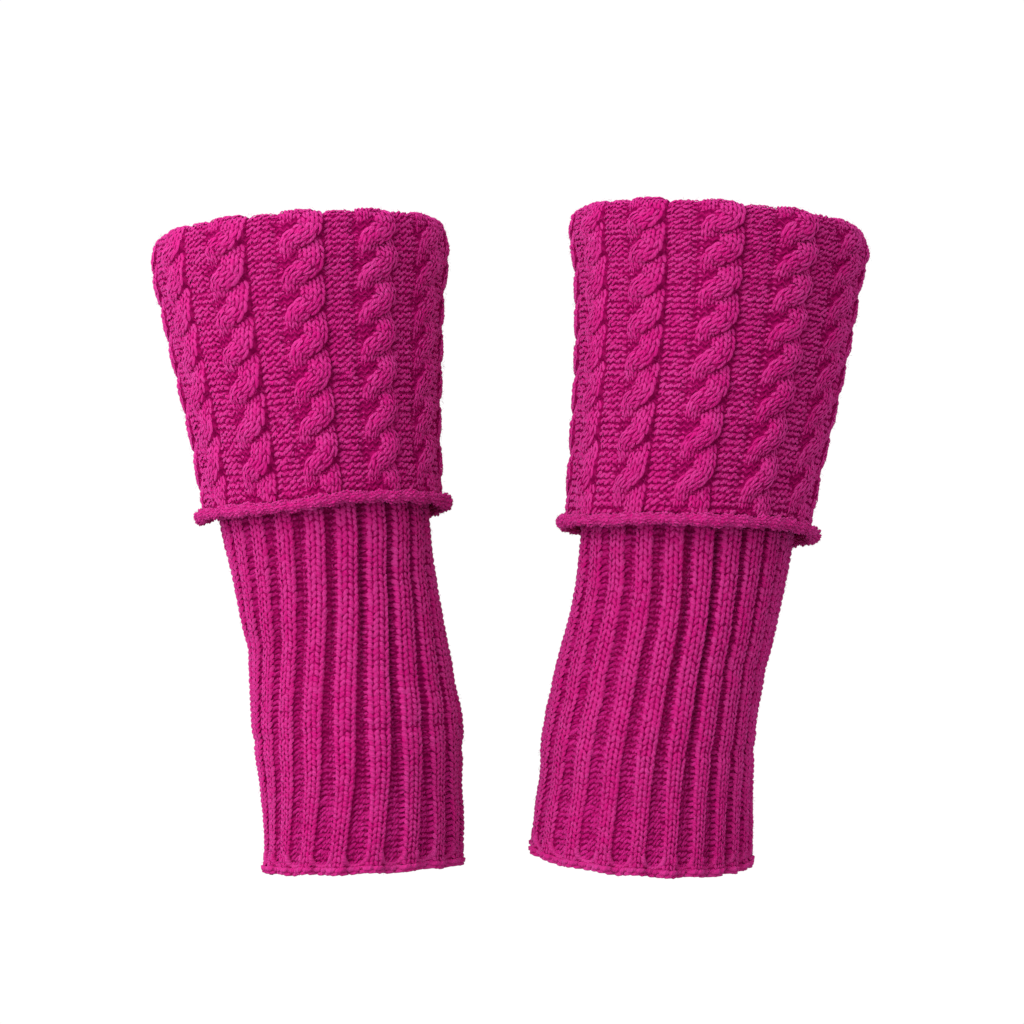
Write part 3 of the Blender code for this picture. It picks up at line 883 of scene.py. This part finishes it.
def strand_surface(leg, cable, lobe):
    """A cable's strand as a function of millimetres across it and crossings along it.

    A strand lies at the left at 0, climbs over the other one to the right at 1, and
    goes under at both ends.
    """

    def surface(across, along):
        swing, rate = strand_swing(along)
        crossing = lobe + along - 0.5
        lean = np.arctan2(STRAND_PATH * rate, strand_climb(leg, crossing)) * STRAND_LEAN
        narrow, gain = STRAND_NARROWING
        spread = across * (narrow + gain * fade(along, 0.0, 0.8))
        side = STRAND_PATH * swing + spread * np.cos(lean)
        length = crossing_length(leg, crossing) - spread * np.sin(lean)
        height = STRAND_TAIL + (STRAND_HEAD - STRAND_TAIL) * fade(along, *STRAND_CLIMB)
        for way, (depth, start, end) in ((1, HEAD_DIVE), (-1, TAIL_DIVE)):
            height = height - depth * fade(way * along, start, end)
        edge = np.abs(across) / STRAND_HALF
        height = (height - STRAND_CROWN * edge**2) * cable_share(leg, cable, length)
        height = height - STRAND_SKIRT_DROP * np.maximum(edge - 1, 0.0) / (STRAND_SKIRT - 1)
        length = np.clip(length, -1.0, cuff_length(leg))
        return cuff_point(leg, cable + side / cable_pitch(leg), length, height)

    return surface


def lobes(leg):
    """Numbers of the crossings whose strands show."""
    last = 0
    while crossing_length(leg, last + 0.5) < cuff_end(leg):
        last += 1
    return np.arange(-1, last + 1)


def strand_yarn(leg, rng):
    """The knit stitches of the cables' strands."""
    count = round(STRAND_SPAN * CROSSING_ROWS)
    rows = 0.5 + (np.arange(count) - (count - 1) / 2) / CROSSING_ROWS
    width = 2 * STRAND_HALF / CABLE_COLUMNS
    columns = (np.arange(CABLE_COLUMNS) - (CABLE_COLUMNS - 1) / 2) * width * STRAND_COLUMN_SHARE
    grid = np.meshgrid(np.arange(CABLES), lobes(leg), columns, rows, indexing="ij")
    cable, lobe, column, along = (axis.ravel().astype(float) for axis in grid)
    length = crossing_length(leg, lobe + along - 0.5)
    keep = (length > FIRST_CABLE_ROW) & (length < cuff_end(leg))
    cable, lobe, column, along = cable[keep], lobe[keep], column[keep], along[keep]
    climb = strand_climb(leg, lobe + along - 0.5)
    run = np.hypot(climb, STRAND_PATH * strand_swing(along)[1])
    ones = np.ones(len(along))
    at = Stitches(column, along, ones * width / 2, run / CROSSING_ROWS, ones, run)
    surface = strand_surface(leg, cable[:, None, None], lobe[:, None, None])
    return knit_stitches(surface, at, rng, sense=-1.0)


def strand_cloth(leg):
    """The cloth of the strands, which closes the gaps between their stitches."""
    across = np.array([-STRAND_SKIRT, -1.0, -0.6, 0.0, 0.6, 1.0, STRAND_SKIRT]) * STRAND_HALF
    along = 0.5 + np.linspace(-0.5, 0.5, 13) * (STRAND_SPAN + 0.1)
    grid = np.meshgrid(np.arange(CABLES), lobes(leg), indexing="ij")
    cable, lobe = (axis.ravel().astype(float)[:, None, None] for axis in grid)
    u, v = np.meshgrid(across, along)
    u, v = u + 0 * cable, v + 0 * cable
    points = strand_surface(leg, cable, lobe)(u, v)
    quads = patch_quads(*points.shape[:3])
    coords = np.stack([u * CABLE_COLUMNS / (2 * STRAND_HALF), v * CROSSING_ROWS, 0 * u], -1)
    return Yarn(points.reshape(-1, 3), quads, coords.reshape(-1, 3)[quads])


def roll_yarn(leg, rng):
    """The purl stitches that show on the rolled edge."""
    turns = np.radians(np.linspace(*ROLL_SHOWN, ROLL_ROWS))
    stitch, turn = np.meshgrid(np.arange(ROLL_STITCHES, dtype=float), turns, indexing="ij")
    ones = np.ones(stitch.size)
    pitch = pitch_round(leg.cuff[-1], ROLL_STITCHES) * ones
    at = Stitches(
        stitch.ravel() + rng.normal(0, 0.08, stitch.size), turn.ravel(), pitch / 2,
        ROLL_STITCH_HEIGHT * ones, pitch, ROLL_RADIUS * ones,
    )
    return purl_stitches(roll_surface(leg), at, rng, plump=1.15)


def leg_fuzz(leg, rng):
    low, edge = leg.tube[-1].height, leg.cuff[-1].height
    at = scattered(rng, LEG_FIBRES, (0.0, RIBS), (low + 1.0, edge), 12.5, 1.0)
    return fuzz(leg_surface(leg), at, rng)


def cuff_fuzz(leg, rng):
    pitch = cable_pitch(leg)
    at = scattered(rng, CUFF_FIBRES, (0.0, CABLES), (2.0, cuff_crown(leg)), pitch, 1.0)

    def surface(cables, along):
        side = np.abs(cables - np.round(cables)) * pitch / (CABLE_WIDTH / 2)
        over = STRAND_HEAD * 0.8 * fade(-side, -1.0, -0.6) * cable_share(leg, cables, along)
        return cuff_point(leg, cables, along, over)

    return fuzz(surface, at, rng)


def roll_fuzz(leg, rng):
    at = scattered(rng, ROLL_FIBRES, (0.0, ROLL_STITCHES), (-1.8, 2.0), 2.75, ROLL_RADIUS)
    return fuzz(roll_surface(leg, sink=0.3), at, rng)


def leg_wall(name, leg, material):
    """The ribbed leg's cloth, ribs and furrows outside and the reverse inside."""
    low, edge = leg.tube[-1].height, leg.cuff[-1].height
    heights = np.concatenate([
        [low, low + 1.2, low + HEM_BAND],
        np.linspace(low + HEM_FLARE_REACH, edge + RIB_FLATTENING[0], 34),
        np.linspace(edge + RIB_FLATTENING[1], tube_top(leg), 8),
    ])
    ribs = np.arange(RIBS * 6) / 6
    height, rib = np.meshgrid(heights, ribs, indexing="ij")
    relief = rib_relief(leg, rib, height)
    outer = leg_point(leg, rib, height, relief)
    inner = leg_point(leg, rib, height, np.minimum(relief - LEG_WALL, -LEG_INSIDE))
    return wall(name, outer, inner, ribs * RIB_STITCHES, heights / CLOTH_ROW, material)


def cuff_wall(name, leg, material):
    """The cuff's cloth: the ground outside, over the fold and down inside."""
    straight, end = cuff_straight(leg), cuff_length(leg)
    lengths = np.concatenate([
        [-CLOTH_ROW, 0.0, 1.5],
        np.linspace(4, straight, 26),
        straight + math.pi * FOLD_RADIUS * np.arange(1, 9) / 8,
        [end - 2, end],
    ])
    cables = np.arange(CABLES * 12) / 12
    along, cable = np.meshgrid(lengths, cables, indexing="ij")
    outer = ground_surface(leg)(cable, along)
    inner = cuff_point(leg, cable, along, -WALL)
    return wall(name, outer, inner, cables * GROUND_STITCHES, lengths / CLOTH_ROW, material)


def roll_wall(name, leg, material):
    """The free edge's cloth, curled outward on itself."""
    turns = ROLL_START - np.linspace(0, ROLL_TURNS * TAU, ROLL_RINGS)
    stitches = np.arange(ROLL_STITCHES, dtype=float)
    turn, stitch = np.meshgrid(turns, stitches, indexing="ij")
    outer = roll_surface(leg)(stitch, turn)
    inner = roll_surface(leg, sink=ROLL_CLOTH)(stitch, turn)
    return wall(name, outer, inner, stitches, turns * ROLL_RADIUS / ROLL_ROW, material)


def node(tree, kind, **settings):
    made = tree.nodes.new(kind)
    for key, value in settings.items():
        setattr(made, key, value)
    return made


def maths(tree, operation, *inputs):
    """A math node fed with sockets or numbers."""
    made = node(tree, "ShaderNodeMath", operation=operation)
    for socket, value in zip(made.inputs, inputs):
        if isinstance(value, (int, float)):
            socket.default_value = value
        else:
            tree.links.new(value, socket)
    return made.outputs[0]


def weighted(tree, *parts):
    """The sum of sockets, each times its number."""
    total = 0.0
    for socket, weight in parts:
        total = maths(tree, "MULTIPLY_ADD", socket, weight, total)
    return total


def set_inputs(made, **values):
    """Constant values for inputs, named with _ for a space."""
    for name, value in values.items():
        made.inputs[name.replace("_", " ")].default_value = value


def noise(tree, **values):
    """Noise over a piece, from 0 to 1."""
    made = node(tree, "ShaderNodeTexNoise")
    set_inputs(made, **values)
    place = node(tree, "ShaderNodeTexCoord")
    tree.links.new(place.outputs["Object"], made.inputs["Vector"])
    return made.outputs["Fac"]


def knit_material(name):
    """A material, its nodes and the parts of its knit attribute."""
    material = bpy.data.materials.new(name)
    material.use_nodes = True
    tree = material.node_tree
    knit = node(tree, "ShaderNodeAttribute", attribute_name="knit")
    split = node(tree, "ShaderNodeSeparateXYZ")
    tree.links.new(knit.outputs["Vector"], split.inputs[0])
    return material, tree, split.outputs


def shade(tree, tone, stops, relief, strength, distance, roughness):
    """Colour by tone, with (tone, colour) stops, bumps by relief, and roughness."""
    shader = tree.nodes["Principled BSDF"]
    ramp = node(tree, "ShaderNodeValToRGB")
    for element, (position, colour) in zip(ramp.color_ramp.elements, stops):
        element.position = position
        element.color = (*colour, 1)
    tree.links.new(tone, ramp.inputs[0])
    tree.links.new(ramp.outputs[0], shader.inputs["Base Color"])
    bump = node(tree, "ShaderNodeBump")
    set_inputs(bump, Strength=strength, Distance=distance)
    tree.links.new(relief, bump.inputs["Height"])
    tree.links.new(bump.outputs[0], shader.inputs["Normal"])
    tree.links.new(roughness, shader.inputs["Roughness"])
    set_inputs(shader, Specular_IOR_Level=0.0)
    return shader


def yarn_material(name, dark, light, sheen):
    """Plied wool-like yarn: twisted plies, loose fibres, uneven dye, and painted light that makes
    each length's crown lighter and its edges darker.
    """
    material, tree, knit = knit_material(name)
    turns = weighted(tree, (knit["X"], TAU / PLY_LENGTH), (knit["Y"], TAU))
    ply = maths(tree, "SINE", turns)
    fibres = noise(tree, Scale=2600.0, Detail=3.0, Roughness=0.65)
    patches = noise(tree, Scale=55.0, Detail=2.0)
    # Painted light: a painted highlight along the crown of each length of yarn and painted shade
    # at its edges.
    painted_crown_light = maths(tree, "COSINE", maths(tree, "MULTIPLY", knit["Y"], math.pi))
    tone = weighted(tree, (painted_crown_light, 0.14), (knit["Z"], 0.28), (fibres, 0.5), (patches, 0.35))
    relief = weighted(tree, (ply, 0.5), (fibres, 1.0))
    rough = maths(tree, "MULTIPLY_ADD", fibres, 0.2, 0.68)
    stops = ((0.38, dark), (1.0, light))
    shader = shade(tree, tone, stops, relief, 0.6, 0.00035, rough)
    set_inputs(shader, Sheen_Weight=sheen, Sheen_Roughness=0.45, Sheen_Tint=(1.0, 0.2, 0.7, 1.0))
    return material


def cloth_material(name, dark, light):
    """The reverse of the knitting, seen inside and through the gaps between stitches, coloured
    darker than the yarn as painted shade.
    """
    material, tree, knit = knit_material(name)
    column = maths(tree, "COSINE", maths(tree, "MULTIPLY", knit["X"], TAU))
    row = maths(tree, "SINE", weighted(tree, (knit["Y"], TAU), (column, 1.3)))
    fibres = noise(tree, Scale=1500.0, Detail=3.0)
    tone = weighted(tree, (row, 0.3), (fibres, 1.0))
    relief = weighted(tree, (row, 0.5), (fibres, 0.5))
    rough = maths(tree, "MULTIPLY_ADD", fibres, 0.2, 0.75)
    shade(tree, tone, ((0.2, dark), (0.85, light)), relief, 0.9, 0.0008, rough)
    return material


def dress(side, leg, seed):
    """All pieces of one leg warmer."""
    rng = np.random.default_rng(seed)
    leg_cloth = leg_wall(f"{side}_leg_cloth", leg, CLOTH_PAINTED_SHADE)
    cuff_cloth = cuff_wall(f"{side}_cuff_cloth", leg, CLOTH_PAINTED_SHADE)
    roll_cloth = roll_wall(f"{side}_roll_cloth", leg, CABLE_YARN)
    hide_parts(f"{side}_ribbed_leg")
    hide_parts(f"{side}_cable_cuff")
    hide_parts(f"{side}_rolled_edge")
    pieces = [leg_cloth, cuff_cloth, roll_cloth]
    makers = (
        ("rib_stitches", rib_yarn(leg, rng), RIB_YARN, "rib_knit"),
        ("furrow_stitches", furrow_yarn(leg, rng), FURROW_YARN_PAINTED_SHADE, "rib_knit"),
        ("hem_stitches", hem_yarn(leg, rng), RIB_YARN, "rib_knit"),
        ("cable_cloth", strand_cloth(leg), CLOTH_PAINTED_SHADE, "cable_knit"),
        ("cable_stitches", strand_yarn(leg, rng), CABLE_YARN, "cable_knit"),
        ("ground_stitches", ground_yarn(leg, rng), CABLE_YARN, "cable_knit"),
        ("roll_stitches", roll_yarn(leg, rng), CABLE_YARN, "edge_knit"),
        ("leg_fibres", leg_fuzz(leg, rng), CABLE_YARN, "rib_knit"),
        ("cuff_fibres", cuff_fuzz(leg, rng), CABLE_YARN, "cable_knit"),
        ("roll_fibres", roll_fuzz(leg, rng), CABLE_YARN, "edge_knit"),
    )
    for name, yarn, material, slot in makers:
        piece = piece_from(f"{side}_{name}", *yarn, material)
        pieces.append(piece)
    for piece in pieces:
        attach(piece, "root")


CABLE_YARN = yarn_material("cable_yarn", (0.42, 0.001, 0.126), (0.5, 0.038, 0.225), 0.3)
RIB_YARN = yarn_material("rib_yarn", (0.4, 0.001, 0.118), (0.46, 0.034, 0.205), 0.3)
# Painted shade: the furrows' yarn is coloured darker than the ribs' yarn, for the shade that lies
# in the furrows.
FURROW_YARN_PAINTED_SHADE = yarn_material("furrow_yarn", (0.3, 0.0004, 0.086), (0.5, 0.02, 0.205), 0.2)
# Painted shade: the cloth is the same wool as the yarn, coloured darker for the shade in the gaps
# between stitches and inside.
CLOTH_PAINTED_SHADE = cloth_material("cloth", (0.16, 0.001, 0.045), (0.3, 0.004, 0.09))

dress("left", LEFT, 5)
dress("right", RIGHT, 6)


def area_light(name, place, aim, size, power):
    """A round lamp of a diameter at a place, turned to its aim."""
    light = bpy.data.lights.new(name, "AREA")
    light.shape = "DISK"
    light.size = size * MM
    light.energy = power
    lamp = bpy.data.objects.new(name, light)
    lamp.location = Vector(place) * MM
    lamp.rotation_euler = (Vector(aim) - Vector(place)).to_track_quat("-Z", "Y").to_euler()
    bpy.context.scene.collection.objects.link(lamp)


def backdrop():
    """A pale floor that curves up into a pale wall behind."""
    front, floor_z, bend_y, bend, top, half = -2500.0, -235.0, 900.0, 600.0, 2600.0, 4000.0
    line = [(front, floor_z), (bend_y, floor_z)]
    line += [
        (bend_y + bend * math.sin(a), floor_z + bend * (1 - math.cos(a)))
        for a in np.linspace(0.1, math.pi / 2, 14)
    ]
    line.append((bend_y + bend, top))
    points = np.array([(x, y, z) for y, z in line for x in (-half, half)])
    quads = patch_quads(1, len(line), 2)
    paper = bpy.data.materials.new("paper")
    paper.use_nodes = True
    shader = paper.node_tree.nodes["Principled BSDF"]
    set_inputs(shader, Base_Color=(0, 0, 0, 1), Specular_IOR_Level=0.0)
    set_inputs(shader, Emission_Color=(1, 1, 1, 1), Emission_Strength=PAPER_STRENGTH)
    floor = piece_from("floor", points, quads, np.zeros((quads.size, 3)), paper)
    floor.visible_diffuse = False
    floor.visible_shadow = False


def soft_sky():
    """White light from all round, stronger from above and from the left."""
    world = bpy.data.worlds.new("world")
    world.use_nodes = True
    tree = world.node_tree
    sky = tree.nodes["Background"]
    set_inputs(sky, Color=(1, 1, 1, 1))
    towards = node(tree, "ShaderNodeSeparateXYZ")
    tree.links.new(node(tree, "ShaderNodeTexCoord").outputs["Generated"], towards.inputs[0])
    from_above = maths(tree, "MULTIPLY_ADD", towards.outputs["Z"], 0.5, SKY_STRENGTH)
    from_left = maths(tree, "MULTIPLY_ADD", towards.outputs["X"], -0.38, from_above)
    tree.links.new(from_left, sky.inputs["Strength"])
    bpy.context.scene.world = world


backdrop()
area_light("key", (-700, -580, 580), (-10, 0, 0), 260, 2.9)
area_light("front", (-300, -520, 160), (-40, 0, -10), 420, 1.9)
soft_sky()
bpy.context.scene.view_settings.view_transform = "Standard"

lens = bpy.data.cameras.new("camera")
lens.lens = LENS
lens.sensor_width = 36.0
camera = bpy.data.objects.new("camera", lens)
camera.location = (0, -CAMERA_DISTANCE * MM, 0)
camera.rotation_euler = (math.pi / 2, 0, 0)
bpy.context.scene.collection.objects.link(camera)
bpy.context.scene.camera = camera
